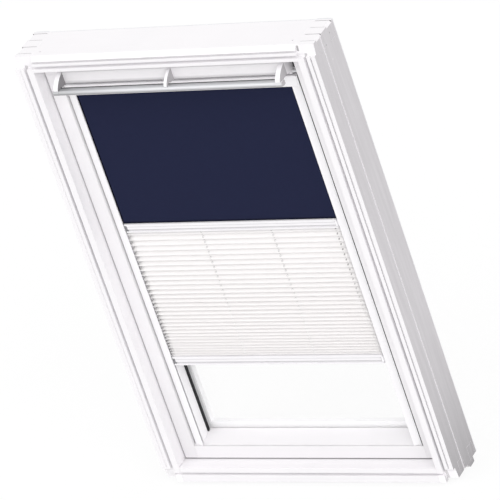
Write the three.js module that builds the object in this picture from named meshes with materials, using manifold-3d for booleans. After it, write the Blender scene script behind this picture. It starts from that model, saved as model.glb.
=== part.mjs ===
// Centre-pivot roof window with a double blind fitted in its sash.
// Millimetres. X runs across the window, Z up its slope and Y out through the roof.
// Sizes are taken from the window's centre line in X, from the frame's room side in Y
// and from the frame's underside in Z. The finished window is then moved, so that its
// origin lies in the middle of the bottom of its box.

import * as THREE from 'three';
import * as BufferGeometryUtils from 'three/addons/utils/BufferGeometryUtils.js';
import Module from 'manifold-3d';

const wasm = await Module();
wasm.setup();

// Gaps and overruns
const seatGap = 0.3;          // between two pieces that touch
const overrun = 5;            // how far a cutting body runs past what it cuts
const turnSteps = 24;         // sides of a round piece

// Frame
const frameWidth = 780;
const frameHeight = 1178;
const frameDepth = 116;
const jambFace = 45.5;
const headFace = 37.5;
const sillFace = 34;
const fingerStart = 25;       // the comb joints' first layer
const fingerThickness = 28.5;
const fingerGap = 0.6;
const fingerEase = 5;         // the slanting corner of the head's fingers
const headLineInset = 11;     // the head's thin slot, below the frame's top
const headLineHeight = 4.4;
const headLineDepth = 6;
const headCrownStart = 2;     // the head's front above the slot leans back
const headCrownEnd = 13.5;
const shoulderDrop = 26;      // the jambs' ends stand back over this height
const shoulderStart = 8;
const shoulderEnd = 12;
const footHeight = 31;        // and over this height at their lower ends
const lipDrop = 6;            // the lip along the sill's lower edge
const lipDepth = 12;
const grooveInset = 22.5;     // the lining groove in the jambs and the sill
const grooveWidth = 7;
const grooveDepth = 10;
const sillGrooveInset = 13;
const plugHoleInset = 61;     // small holes in the top of the head
const plugHoleBack = 30.5;
const plugHoleRadius = 2;
const plugHoleDepth = 6;
const trimLineInset = 9.5;    // the fine line outside the lining groove
const trimLineWidth = 4;
const trimLineDepth = 3;
const trimLineEnd = 33;
const sideLineBack = 48;      // the fine line along the outside of the jambs
const sideLineWidth = 5;
const sideLineDepth = 2.4;
const dripBack = 19;          // from the frame's back to the drip nose under the sill
const dripWidth = 37;
const dripDrop = 14;

// Outer covers of the frame
const coverThickness = 5;
const coverEdge = 2.2;        // the height of a cover's thin edge
const coverBevel = 6;
const coverMargin = 2;        // what a cover leaves free beside the opening

// Sash
const sashGap = 3;            // between the sash and the frame, all round
const sashSetback = 37.5;     // from the frame's room side to the sash's
const sashFace = 33.6;
const slopeRun = 18.8;        // how much wider a sash member is at the glass
const stileStraight = 40;     // the straight stretch of a stile's inner face
const glassSeat = 48;         // from the sash's room side to its glass
const glassCover = 10.5;      // what the rebate covers of the glass
const beadLineSetback = 1.5;  // the fine line along the bottom rail's front edge
const beadLineWidth = 1.8;
const beadLineDepth = 0.8;
const paneThickness = 4;
const cavity = 15;
const spacerInset = 12;
const spacerWidth = 14;
const topRailSetback = 13.5;  // the top rail lies behind the ventilation flap

// Outer covers of the sash
const sashCoverPlate = 2.6;
const sashCoverLap = 14;      // how far a cover laps over the glass
const sashCoverLeg = 2.2;

// Rim seal
const sealInset = 20;         // from the sash's outer side
const sealWidth = 8;
const sealThickness = 1.4;

// Pivots
const pinRadius = 9;
const pinInStile = 16;
const pinInJamb = 14;
const plateThickness = 1.7;
const plateHeight = 130;
const plateWidth = 50;

// Lock
const strikerLength = 60;
const strikerWidth = 20;
const strikerThickness = 2;
const lockLength = 80;
const lockWidth = 24;
const lockDepth = 12;
const lockInset = 28.5;       // from the sash's back to the lock's centre line

// Ventilation flap and its filter
const flapEndGap = 12.9;      // between the flap and the stiles
const flapSetback = 18.5;     // from the frame's room side to the flap's face
const flapThickness = 12;     // at its hinge
const flapBrow = 12.7;        // how far the face's lower edge stands above the flap's
const flapTopClearance = 3.5; // below the sash's top edge
const flapLift = 4.7;         // above the head box
const flapPinRadius = 3;
const flapPinInFlap = 12;
const flapPinInStile = 10;
const filterInset = 25;       // from the flap's end to the filter's
const filterHeight = 28;
const filterDepth = 20;
const filterDrop = 11.5;      // below the top rail's upper edge

// Control bar and its arms
const barOverhang = 3;        // of the bar, past the flap's end
const barReach = 22;          // in front of the frame's room side
const barDepth = 18;
const barHeight = 12;
const barRise = 7.7;          // from the head box's top to the bar's underside
const barCapThickness = 3;
const endArmWidth = 12;
const middleArmWidth = 8;
const armFootSetback = 2;     // behind the bar's front
const armFootDepth = 10;
const armFlapMargin = 1.8;    // what the arm leaves free of the flap's face below it
const armTopMargin = 5;       // and above it
// Points on the arm's two edges: shares of the way to the flap, and heights over the foot
const armUpperShares = [0.05, 0.34, 0.66];
const armUpperHeights = [5.8, 16, 23];
const armLowerShares = [0.64, 0.47, 0.34, 0.24];
const armLowerHeights = [-1.5, 1.6, 2.8, 2.4];
const endArmFootDepth = 12;
const endArmLowerShares = [0.69, 0.53, 0.33];
const endArmLowerHeights = [-2.1, -1.6, -5.4];

// Blind: head box and roller
const blindEndGap = 3.9;      // between the stiles and the head box or a side channel
const headBoxHeight = 27;
const headBoxDrop = 4.1;      // below the top rail's inner edge
const headBoxDepth = 34;
const headBoxSetback = 0.5;   // behind the sash's room side
const headBoxWall = 2;
const headBoxCap = 3.7;
const clothSlotStart = 3;     // behind the head box's front
const clothSlotWidth = 5;
const rollerRadius = 10.4;
const rollerStubRadius = 4;
const rollerStubLength = 21;

// Blind: cloths
const clothEndGap = 3.5;      // between the cloths and the side channels
const clothThickness = 1.2;
const clothBack = 4;          // behind the head box's front
const pleatCount = 31;
const pleatFace = 11;         // from a front fold to the next back fold
const pleatThickness = 0.7;
const pleatFrontBack = 1.7;   // the front folds, behind the bars' front
const firstPleatShare = 1.296;
const lastPleatShare = 0.556;
const pleatEasingShare = 1.5;
const pleatDrop = 350;        // from the middle bar down to the bottom bar

// Blind: bars and gliders
const barProfileHeight = 23;
const barProfileDepth = 10.2;
const barProfileSetback = 0.3; // behind the sash's room side
const flangeHeight = 4;
const lineDrop = 6.4;         // from the bar's top to the fine line
const gripFlange = 3.6;
const grooveLineHeight = 1.8;
const grooveLineDepth = 1.4;
const faceHeight = 6;
const faceSetback = 0.8;
const gripDepth = 3.7;
const darkClothDrop = 354;    // from the head box down to the middle bar's top
const gliderInset = 5;        // the visible end of a glider, inside the bar's end
const gliderFrontSetback = 1.4;
const gliderDepth = 6.4;
const tongueReach = 6;        // into the side channel
const tongueHeight = 13;

// Blind: side channels and light seals
const channelWidth = 21;
const channelDepth = 38;
const channelWall = 2.2;
const channelLip = 2.4;
const channelSlot = 5.9;
const channelSlant = 5.2;      // how far a channel's outer edge stands back
const lightSealReach = 4;     // past the channel's inner side
const lightSealWidth = 8;

// Places worked out from the sizes above
const frameHalf = frameWidth / 2;
const jambInner = frameHalf - jambFace;
const headBottom = frameHeight - headFace;
const dripEnd = frameDepth - dripBack;
const dripStart = dripEnd - dripWidth;
const liningInner = frameHalf - grooveInset - grooveWidth;
const sashHalf = jambInner - sashGap;
const sashBottom = sillFace + sashGap;
const sashTop = headBottom - sashGap;
const sashMiddle = (sashBottom + sashTop) / 2;
const sashBack = frameDepth;
const pivotY = (sashSetback + sashBack) / 2;
const stileInner = sashHalf - sashFace;
const flapHalfWidth = stileInner - flapEndGap;
const filterHalfWidth = flapHalfWidth - filterInset;
const barHalfLength = flapHalfWidth + barOverhang;
const headBoxHalfWidth = stileInner - blindEndGap;
const channelOuter = headBoxHalfWidth;
const channelInner = channelOuter - channelWidth;
const clothHalfWidth = channelInner - clothEndGap;
const glassSeatY = sashSetback + glassSeat;
const glassY = glassSeatY + seatGap;
const outerPaneY = glassY + paneThickness + cavity;
const glassBackY = outerPaneY + paneThickness;
const memberAtGlass = sashFace + slopeRun;
const rebateWall = memberAtGlass - glassCover;
const topRailFront = sashSetback + topRailSetback;
const topRailInner = sashTop - memberAtGlass;
const blindFront = sashSetback + headBoxSetback;
const headBoxTop = topRailInner - headBoxDrop;
const headBoxBottom = headBoxTop - headBoxHeight;
const clothY = blindFront + clothBack;
const rollerY = clothY + clothThickness + seatGap + rollerRadius;
const rollerZ = headBoxBottom + headBoxHeight / 2;
const barsFront = sashSetback + barProfileSetback;
const middleBarTop = headBoxBottom - darkClothDrop;
const middleBarBottom = middleBarTop - barProfileHeight;
const bottomBarTop = middleBarBottom - pleatDrop;
const bottomBarBottom = bottomBarTop - barProfileHeight;
const flapBottom = headBoxTop + flapLift;
const flapTop = sashTop - flapTopClearance;
const flapFaceBottom = flapBottom + flapBrow;
const flapAxisY = sashSetback + flapThickness / 2;
const flapAxisZ = flapBottom + flapThickness / 2;
const barFront = -barReach;
const barBack = barFront + barDepth;
const barBottom = headBoxTop + barRise;
const barTop = barBottom + barHeight;
const windowBack = frameDepth + seatGap + coverThickness;
const lockLineY = sashBack - lockInset;
const channelFront = blindFront;
const channelBack = channelFront + channelDepth;
const slotFront = channelFront + channelLip;
const slotBack = slotFront + channelSlot;
const lipSlope = channelSlant / (channelWidth - channelWall);
const tongueFront = slotFront + lipSlope * tongueReach + seatGap;

const materials = {
  paint: { color: 0xf3f2f2, roughness: 0.45, metalness: 0 },
  sidePaint: { color: 0xd3d1d5, roughness: 0.6, metalness: 0 },
  cover: { color: 0xdbdcde, roughness: 0.45, metalness: 0.2 },
  steel: { color: 0xa8aaad, roughness: 0.35, metalness: 0.9 },
  rubber: { color: 0x17181a, roughness: 0.8, metalness: 0 },
  glass: { color: 0xe9f1f2, roughness: 0.05, metalness: 0 },
  spacer: { color: 0x9a9da1, roughness: 0.4, metalness: 0.7 },
  foam: { color: 0x77797c, roughness: 0.95, metalness: 0 },
  plastic: { color: 0xdcdbdd, roughness: 0.5, metalness: 0 },
  aluminium: { color: 0xc9cac4, roughness: 0.3, metalness: 0.85 },
  whiteMetal: { color: 0xf1f0f2, roughness: 0.4, metalness: 0.1 },
  glider: { color: 0x55575c, roughness: 0.6, metalness: 0 },
  darkCloth: { color: 0x262b45, roughness: 0.9, metalness: 0 },
  pleatCloth: { color: 0xf4f3f3, roughness: 0.9, metalness: 0 }
};

const roofWindow = new THREE.Group();

function addPiece(name, geometry, finish) {
  const piece = new THREE.Mesh(geometry, new THREE.MeshStandardMaterial(materials[finish]));
  piece.name = name;
  roofWindow.add(piece);
  return piece;
}

// A box between two corners
function block(low, high) {
  const size = high.map((value, axis) => value - low[axis]);
  const geometry = new THREE.BoxGeometry(...size);
  geometry.translate(...low.map((value, axis) => value + size[axis] / 2));
  return geometry;
}

function outline(points) {
  return new THREE.Shape(points.map(([a, b]) => new THREE.Vector2(a, b)));
}

// An outline of (y, z) points, drawn out along X
function alongX(points, from, to) {
  const geometry = new THREE.ExtrudeGeometry(outline(points), {
    depth: to - from, steps: 1, bevelEnabled: false
  });
  geometry.applyMatrix4(new THREE.Matrix4().makeBasis(
    new THREE.Vector3(0, 1, 0), new THREE.Vector3(0, 0, 1), new THREE.Vector3(1, 0, 0)
  ));
  geometry.translate(from, 0, 0);
  return geometry;
}

// An outline of (x, y) points, drawn out along Z
function alongZ(points, from, to) {
  const geometry = new THREE.ExtrudeGeometry(outline(points), {
    depth: to - from, steps: 1, bevelEnabled: false
  });
  geometry.translate(0, 0, from);
  return geometry;
}

// A round bar along X
function alongY(points, from, to) {
  const geometry = new THREE.ExtrudeGeometry(outline(points), {
    depth: to - from, steps: 1, bevelEnabled: false
  });
  geometry.rotateX(Math.PI / 2);
  geometry.translate(0, to, 0);
  return geometry;
}

function rodX(radius, from, to, y, z) {
  const geometry = new THREE.CylinderGeometry(radius, radius, to - from, turnSteps);
  geometry.rotateZ(-Math.PI / 2);
  geometry.translate((from + to) / 2, y, z);
  return geometry;
}

function toSolid(geometry) {
  const bare = geometry.clone();
  bare.deleteAttribute('normal');
  bare.deleteAttribute('uv');
  const merged = BufferGeometryUtils.mergeVertices(bare);
  return new wasm.Manifold(new wasm.Mesh({
    numProp: 3,
    vertProperties: new Float32Array(merged.attributes.position.array),
    triVerts: new Uint32Array(merged.index.array)
  }));
}

function toGeometry(solid) {
  const mesh = solid.getMesh();
  const geometry = new THREE.BufferGeometry();
  geometry.setAttribute('position', new THREE.BufferAttribute(mesh.vertProperties, 3));
  geometry.setIndex(new THREE.BufferAttribute(mesh.triVerts, 1));
  geometry.computeVertexNormals();
  return geometry;
}

function cut(geometry, cutters) {
  return toGeometry(cutters.reduce((solid, cutter) => solid.subtract(toSolid(cutter)), toSolid(geometry)));
}

function join(geometries) {
  return toGeometry(geometries.map(toSolid).reduce((whole, solid) => whole.add(solid)));
}

// The same points on the other side of the window, in the order that keeps them an outline
function mirrored(points, side) {
  const placed = points.map(([x, y]) => [side * x, y]);
  return side < 0 ? placed.reverse() : placed;
}

// A box given for the right side, placed on either side
function sideBlock(side, low, high) {
  const ends = [side * low[0], side * high[0]];
  return block([Math.min(...ends), low[1], low[2]], [Math.max(...ends), high[1], high[2]]);
}

function sideRod(side, radius, from, to, y, z) {
  const ends = [side * from, side * to];
  return rodX(radius, Math.min(...ends), Math.max(...ends), y, z);
}

const sides = [['left', -1], ['right', 1]];

// Comb joints: the jambs keep the even layers, the head and the sill the odd ones
function fingerLayers() {
  const edges = [0];
  for (let edge = fingerStart; edge < frameDepth; edge += fingerThickness) {
    edges.push(edge);
  }
  edges.push(frameDepth);
  return edges.slice(1).map((edge, index) => [edges[index], edge]);
}

function railFingerCuts(low, high) {
  const cuts = [];
  fingerLayers().forEach(([front, back], index) => {
    if (index % 2 === 0) {
      const from = index === 0 ? -overrun : front - fingerGap;
      const to = back === frameDepth ? frameDepth + overrun : back + fingerGap;
      for (const [, side] of sides) {
        cuts.push(sideBlock(side, [jambInner - seatGap, from, low - overrun],
          [frameHalf + overrun, to, high + overrun]));
      }
    }
  });
  return cuts;
}

function jambFingerCuts() {
  const cuts = [];
  fingerLayers().forEach(([front, back], index) => {
    if (index % 2 === 1) {
      cuts.push(block([-frameWidth, front, headBottom - seatGap],
        [frameWidth, back, frameHeight + overrun]));
      cuts.push(block([-frameWidth, front, -overrun], [frameWidth, back, sillFace + seatGap]));
    }
  });
  return cuts;
}

// The jambs' ends lean back beside the head's front
function shoulderCut() {
  return alongX([
    [-overrun, frameHeight - shoulderDrop], [shoulderStart, frameHeight - shoulderDrop],
    [shoulderEnd, frameHeight], [shoulderEnd, frameHeight + overrun],
    [-overrun, frameHeight + overrun]
  ], -frameWidth, frameWidth);
}

// The head's front above its thin slot leans back too
function crownCut() {
  const low = frameHeight - headLineInset;
  return alongX([
    [-overrun, low], [headCrownStart, low], [headCrownEnd, frameHeight],
    [headCrownEnd, frameHeight + overrun], [-overrun, frameHeight + overrun]
  ], -frameWidth, frameWidth);
}

function footCut(side) {
  const section = alongX([
    [-overrun, -overrun], [shoulderEnd, -overrun], [shoulderEnd, 0], [shoulderStart, footHeight],
    [-overrun, footHeight]
  ], 0, grooveInset + grooveWidth + overrun);
  section.translate(side > 0 ? liningInner : -frameHalf - overrun, 0, 0);
  return section;
}

function sideLineCut(side) {
  return alongZ(mirrored([
    [frameHalf, sideLineBack - sideLineWidth], [frameHalf + overrun, sideLineBack - sideLineWidth],
    [frameHalf + overrun, sideLineBack], [frameHalf - sideLineDepth, sideLineBack]
  ], side), -frameHeight, frameHeight + overrun);
}

function trimLineCut(side) {
  const inner = frameHalf - trimLineInset - trimLineWidth;
  const outer = frameHalf - trimLineInset;
  return alongZ(mirrored([
    [inner, -overrun], [outer, -overrun], [outer, 0], [inner, trimLineDepth]
  ], side), trimLineEnd, frameHeight);
}

function fingerEases() {
  const eases = [];
  const low = frameHeight - fingerEase;
  const high = frameHeight + overrun;
  fingerLayers().forEach(([front, back], index) => {
    if (index % 2 === 1) {
      for (const [, side] of sides) {
        eases.push(alongY(mirrored([
          [frameHalf, low], [frameHalf + overrun, low], [frameHalf + overrun, high],
          [frameHalf - fingerEase, high], [frameHalf - fingerEase, frameHeight]
        ], side), front, back));
      }
    }
  });
  return eases;
}

function headSlot() {
  const high = frameHeight - headLineInset;
  return block([-frameWidth, -overrun, high - headLineHeight],
    [frameWidth, headLineDepth, high]);
}

function headGroove() {
  const half = frameHalf - grooveInset;
  const high = frameHeight - grooveInset;
  return block([-half, -overrun, high - grooveWidth], [half, grooveDepth, high]);
}

function plugHoles() {
  return sides.map(([, side]) => {
    const hole = new THREE.CylinderGeometry(plugHoleRadius, plugHoleRadius,
      plugHoleDepth + overrun, turnSteps);
    hole.rotateX(Math.PI / 2);
    hole.translate(side * (frameHalf - plugHoleInset), plugHoleBack,
      frameHeight + (overrun - plugHoleDepth) / 2);
    return hole;
  });
}

function sillGroove() {
  const half = frameHalf - grooveInset;
  return block([-half, -overrun, sillGrooveInset], [half, grooveDepth, sillGrooveInset + grooveWidth]);
}

function pivotRod(radius, from, to, side) {
  return sideRod(side, radius, from, to, pivotY, sashMiddle);
}

function buildFrame() {
  const sideLines = sides.map(([, side]) => sideLineCut(side));
  const headBar = block([-frameHalf, 0, headBottom], [frameHalf, frameDepth, frameHeight]);
  const strikerRoom = block(
    [-strikerLength / 2 - seatGap, lockLineY - strikerWidth / 2 - seatGap, headBottom - overrun],
    [strikerLength / 2 + seatGap, lockLineY + strikerWidth / 2 + seatGap,
      headBottom + strikerThickness + seatGap]
  );
  addPiece('frame_head', cut(headBar, [
    crownCut(), headSlot(), headGroove(), strikerRoom, ...plugHoles(), ...sideLines, ...fingerEases(),
    ...railFingerCuts(headBottom, frameHeight)
  ]), 'paint');
  addPiece('striker_plate', block(
    [-strikerLength / 2, lockLineY - strikerWidth / 2, headBottom],
    [strikerLength / 2, lockLineY + strikerWidth / 2, headBottom + strikerThickness]
  ), 'steel');

  const sillProfile = [
    [0, -lipDrop], [lipDepth, -lipDrop], [lipDepth, 0],
    [frameDepth, 0], [frameDepth, sillFace], [0, sillFace]
  ];
  addPiece('frame_sill', cut(alongX(sillProfile, -frameHalf, frameHalf), [
    sillGroove(), ...railFingerCuts(-lipDrop, sillFace), ...sideLines
  ]), 'paint');
  addPiece('drip_nose', alongX([
    [dripStart, 0], [dripStart + dripDrop, -dripDrop], [dripEnd, -dripDrop], [dripEnd, 0]
  ], -frameHalf, frameHalf), 'paint');
}

function buildJambs() {
  for (const [name, side] of sides) {
    const plateRoom = sideBlock(side,
      [jambInner - overrun, pivotY - plateWidth / 2 - seatGap, sashMiddle - plateHeight / 2 - seatGap],
      [jambInner + plateThickness + seatGap, pivotY + plateWidth / 2 + seatGap,
        sashMiddle + plateHeight / 2 + seatGap]);
    const liningGroove = sideBlock(side,
      [liningInner, -overrun, 0], [frameHalf - grooveInset, grooveDepth, frameHeight - grooveInset]);
    const pinRoom = pivotRod(pinRadius + seatGap, jambInner - overrun,
      jambInner + pinInJamb + seatGap, side);
    const post = join([
      sideBlock(side, [jambInner, 0, 0], [frameHalf, frameDepth, frameHeight]),
      sideBlock(side, [jambInner, 0, -lipDrop], [liningInner, lipDepth, sillGrooveInset])
    ]);
    addPiece('frame_jamb_' + name, cut(post, [
      plateRoom, liningGroove, trimLineCut(side), sideLineCut(side), pinRoom, shoulderCut(),
      footCut(side), headGroove(), sillGroove(),
      ...jambFingerCuts()
    ]), 'paint');

    const plate = sideBlock(side,
      [jambInner, pivotY - plateWidth / 2, sashMiddle - plateHeight / 2],
      [jambInner + plateThickness, pivotY + plateWidth / 2, sashMiddle + plateHeight / 2]);
    addPiece('frame_pivot_plate_' + name,
      cut(plate, [pivotRod(pinRadius + seatGap, 0, frameWidth, side)]), 'steel');
  }
}

// A cover's section, from the outer edge of the frame to the edge of the opening
function coverSection(outer, inner) {
  const base = frameDepth + seatGap;
  return [
    [outer, base], [outer, base + coverEdge], [outer - coverBevel, base + coverThickness],
    [inner + coverBevel, base + coverThickness], [inner, base + coverEdge], [inner, base]
  ];
}

function buildFrameCovers() {
  for (const [name, side] of sides) {
    const section = coverSection(frameHalf, jambInner + coverMargin);
    addPiece('jamb_cover_' + name, alongZ(mirrored(section, side), 0, frameHeight), 'cover');
  }
  const half = jambInner + coverMargin - seatGap;
  const headSection = coverSection(frameHeight, headBottom + coverMargin).map(([z, y]) => [y, z]);
  addPiece('head_cover', alongX(headSection.reverse(), -half, half), 'cover');
  const sillSection = coverSection(sillFace - coverMargin, 0).map(([z, y]) => [y, z]);
  addPiece('sill_cover', alongX(sillSection.reverse(), -half, half), 'cover');
}

// A stile's section as (x, y) points on the right side, widened inwards by a gap
function stileSection(gap) {
  return [
    [sashHalf + gap, sashSetback - gap],
    [sashHalf + gap, sashBack + gap],
    [sashHalf - rebateWall - gap, sashBack + gap],
    [sashHalf - rebateWall - gap, glassSeatY],
    [sashHalf - memberAtGlass - gap, glassSeatY],
    [stileInner - gap, sashSetback + stileStraight],
    [stileInner - gap, sashSetback - gap]
  ];
}

function bottomRailSection(rise) {
  return [
    [sashSetback, sashBottom],
    [sashBack, sashBottom],
    [sashBack, sashBottom + rebateWall],
    [glassSeatY, sashBottom + rebateWall],
    [glassSeatY, sashBottom + memberAtGlass + rise],
    [sashSetback, sashBottom + sashFace + rise]
  ];
}

function topRailSection() {
  return [
    [topRailFront, topRailInner],
    [glassSeatY, topRailInner],
    [glassSeatY, sashTop - rebateWall],
    [sashBack, sashTop - rebateWall],
    [sashBack, sashTop],
    [topRailFront, sashTop]
  ];
}

function stileShadows() {
  return sides.map(([, side]) => alongZ(mirrored(stileSection(seatGap), side),
    sashBottom - overrun, sashTop + overrun));
}

function buildSash() {
  for (const [name, side] of sides) {
    const plateRoom = sideBlock(side,
      [sashHalf - plateThickness - seatGap, pivotY - plateWidth / 2 - seatGap,
        sashMiddle - plateHeight / 2 - seatGap],
      [sashHalf + overrun, pivotY + plateWidth / 2 + seatGap, sashMiddle + plateHeight / 2 + seatGap]);
    const pinRoom = pivotRod(pinRadius + seatGap, sashHalf - pinInStile - seatGap,
      sashHalf + overrun, side);
    const flapPinRoom = sideRod(side, flapPinRadius + seatGap, stileInner - overrun,
      stileInner + flapPinInStile + seatGap, flapAxisY, flapAxisZ);
    const stile = alongZ(mirrored(stileSection(0), side), sashBottom, sashTop);
    addPiece('sash_stile_' + name, cut(stile, [plateRoom, pinRoom, flapPinRoom]), 'paint');

    const plate = sideBlock(side,
      [sashHalf - plateThickness, pivotY - plateWidth / 2, sashMiddle - plateHeight / 2],
      [sashHalf, pivotY + plateWidth / 2, sashMiddle + plateHeight / 2]);
    addPiece('sash_pivot_plate_' + name,
      cut(plate, [pivotRod(pinRadius + seatGap, 0, frameWidth, side)]), 'steel');
    addPiece('pivot_pin_' + name,
      pivotRod(pinRadius, sashHalf - pinInStile, jambInner + pinInJamb, side), 'steel');
  }

  const beadLine = block(
    [-stileInner, sashSetback + beadLineSetback, sashBottom + sashFace - beadLineDepth],
    [stileInner, sashSetback + beadLineSetback + beadLineWidth, sashBottom + sashFace + overrun]
  );
  addPiece('sash_bottom_rail',
    cut(alongX(bottomRailSection(0), -sashHalf, sashHalf), [beadLine, ...stileShadows()]), 'paint');

  const lockRoom = block(
    [-lockLength / 2 - seatGap, lockLineY - lockWidth / 2 - seatGap, sashTop - lockDepth - seatGap],
    [lockLength / 2 + seatGap, lockLineY + lockWidth / 2 + seatGap, sashTop + overrun]
  );
  const filterTop = sashTop - filterDrop;
  const filterRoom = block(
    [-filterHalfWidth - seatGap, topRailFront - overrun, filterTop - filterHeight - seatGap],
    [filterHalfWidth + seatGap, topRailFront + filterDepth + seatGap, filterTop + seatGap]
  );
  addPiece('sash_top_rail', cut(alongX(topRailSection(), -sashHalf, sashHalf),
    [lockRoom, filterRoom, ...stileShadows()]), 'paint');
  addPiece('vent_filter', block(
    [-filterHalfWidth, topRailFront, filterTop - filterHeight],
    [filterHalfWidth, topRailFront + filterDepth, filterTop]
  ), 'foam');
  addPiece('lock_case', block(
    [-lockLength / 2, lockLineY - lockWidth / 2, sashTop - lockDepth],
    [lockLength / 2, lockLineY + lockWidth / 2, sashTop]
  ), 'steel');
}

// A rectangular ring between two depths: its outer size and how wide its band is
function ring(halfWidth, halfHeight, band, front, back) {
  const outer = block([-halfWidth, front, sashMiddle - halfHeight],
    [halfWidth, back, sashMiddle + halfHeight]);
  const hole = block([band - halfWidth, front - overrun, sashMiddle + band - halfHeight],
    [halfWidth - band, back + overrun, sashMiddle - band + halfHeight]);
  return cut(outer, [hole]);
}

function buildGlass() {
  const halfWidth = sashHalf - rebateWall - seatGap;
  const halfHeight = (sashTop - sashBottom) / 2 - rebateWall - seatGap;
  const paneAt = (front) => block([-halfWidth, front, sashMiddle - halfHeight],
    [halfWidth, front + paneThickness, sashMiddle + halfHeight]);
  addPiece('inner_pane', paneAt(glassY), 'glass');
  addPiece('outer_pane', paneAt(outerPaneY), 'glass');
  addPiece('spacer_frame', ring(halfWidth - spacerInset, halfHeight - spacerInset, spacerWidth,
    glassY + paneThickness + seatGap, outerPaneY - seatGap), 'spacer');
}

function buildRimSeal() {
  const sealFront = sashBack - sealInset - sealWidth;
  const reach = seatGap + sealThickness;
  addPiece('weather_seal', ring(sashHalf + reach, (sashTop - sashBottom) / 2 + reach, sealThickness,
    sealFront, sealFront + sealWidth), 'rubber');
}

// A sash cover's section: a plate over the sash member and a leg down to the glass
function sashCoverSection(outer) {
  const base = sashBack + seatGap;
  const inner = outer - rebateWall - sashCoverLap;
  return [
    [outer, base], [outer, base + sashCoverPlate], [inner, base + sashCoverPlate],
    [inner, glassBackY + seatGap], [inner + sashCoverLeg, glassBackY + seatGap],
    [inner + sashCoverLeg, base]
  ];
}

function buildSashCovers() {
  const section = sashCoverSection(sashHalf);
  const base = sashBack + seatGap;
  const railEnds = [
    block([-frameWidth, 0, 0], [frameWidth, base, sashBottom + rebateWall + seatGap]),
    block([-frameWidth, 0, sashTop - rebateWall - seatGap], [frameWidth, base, frameHeight])
  ];
  for (const [name, side] of sides) {
    const cover = alongZ(mirrored(section, side), sashBottom, sashTop);
    addPiece('sash_cover_' + name, cut(cover, railEnds), 'cover');
  }
  const half = sashHalf - rebateWall - sashCoverLap - seatGap;
  const upper = sashCoverSection(sashTop).map(([z, y]) => [y, z]).reverse();
  addPiece('sash_cover_top', alongX(upper, -half, half), 'cover');
  const lower = sashCoverSection(0).map(([z, y]) => [y, sashBottom - z]);
  addPiece('sash_cover_bottom', alongX(lower, -half, half), 'cover');
}

// The flap's section ends in a half round about its pins
function flapSection() {
  const points = [
    [sashSetback + flapThickness, flapTop], [flapSetback, flapTop], [flapSetback, flapFaceBottom]
  ];
  const steps = turnSteps / 2;
  for (let step = 0; step <= steps; step += 1) {
    const turn = Math.PI + Math.PI * step / steps;
    points.push([
      flapAxisY + Math.cos(turn) * flapThickness / 2,
      flapAxisZ + Math.sin(turn) * flapThickness / 2
    ]);
  }
  return points;
}

function buildFlap() {
  const pinRooms = sides.map(([, side]) => sideRod(side, flapPinRadius + seatGap,
    flapHalfWidth - flapPinInFlap - seatGap, flapHalfWidth + overrun, flapAxisY, flapAxisZ));
  addPiece('vent_flap', cut(alongX(flapSection(), -flapHalfWidth, flapHalfWidth), pinRooms), 'paint');
  for (const [name, side] of sides) {
    addPiece('flap_pin_' + name, sideRod(side, flapPinRadius, flapHalfWidth - flapPinInFlap,
      stileInner + flapPinInStile, flapAxisY, flapAxisZ), 'steel');
  }
}

// The control bar's section: a flat round-fronted grip with a lip along its back
function barSection() {
  const points = [[barBack, barBottom], [barBack, barTop]];
  const steps = turnSteps / 2;
  for (let step = 0; step <= steps; step += 1) {
    const turn = Math.PI / 2 + Math.PI * step / steps;
    points.push([
      barFront + barHeight / 2 + Math.cos(turn) * barHeight / 2,
      barBottom + barHeight / 2 + Math.sin(turn) * barHeight / 2
    ]);
  }
  return points;
}

// An arm's section, from the bar's top back to the flap
function armSection(lowerShares, lowerHeights, footEnd) {
  const back = flapSetback - seatGap;
  const foot = barTop + seatGap;
  const footFront = barFront + armFootSetback;
  const reach = back - footFront;
  const place = (shares, heights) => shares.map((share, index) =>
    new THREE.Vector2(footFront + reach * share, foot + heights[index]));
  const upper = new THREE.SplineCurve([
    new THREE.Vector2(footFront, foot), ...place(armUpperShares, armUpperHeights),
    new THREE.Vector2(back, flapTop - armTopMargin)
  ]).getPoints(turnSteps / 2);
  const lower = new THREE.SplineCurve([
    new THREE.Vector2(back, flapFaceBottom + armFlapMargin),
    ...place(lowerShares, lowerHeights), footEnd
  ]).getPoints(turnSteps / 2);
  return [...upper, ...lower].map((point) => [point.x, point.y]).reverse();
}

function buildHandle() {
  const inner = barHalfLength - barCapThickness;
  const barHalf = inner - endArmWidth - seatGap;
  addPiece('control_bar', alongX(barSection(), -barHalf, barHalf), 'aluminium');
  for (const [name, side] of sides) {
    const ends = [side * inner, side * barHalfLength];
    addPiece('bar_cap_' + name, alongX(barSection(), Math.min(...ends), Math.max(...ends)), 'plastic');
  }
  const middleArm = armSection(armLowerShares, armLowerHeights,
    new THREE.Vector2(barFront + armFootSetback + armFootDepth, barTop + seatGap));
  addPiece('bar_arm_middle', alongX(middleArm, -middleArmWidth / 2, middleArmWidth / 2), 'plastic');
  const endArm = armSection(endArmLowerShares, endArmLowerHeights,
    new THREE.Vector2(barFront + armFootSetback + endArmFootDepth, barBottom));
  for (const [name, from, to] of [
    ['left', -inner, endArmWidth - inner], ['right', inner - endArmWidth, inner]
  ]) {
    addPiece('bar_arm_' + name, join([
      alongX(endArm, from, to), alongX(barSection(), from, to)
    ]), 'plastic');
  }
}

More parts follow.
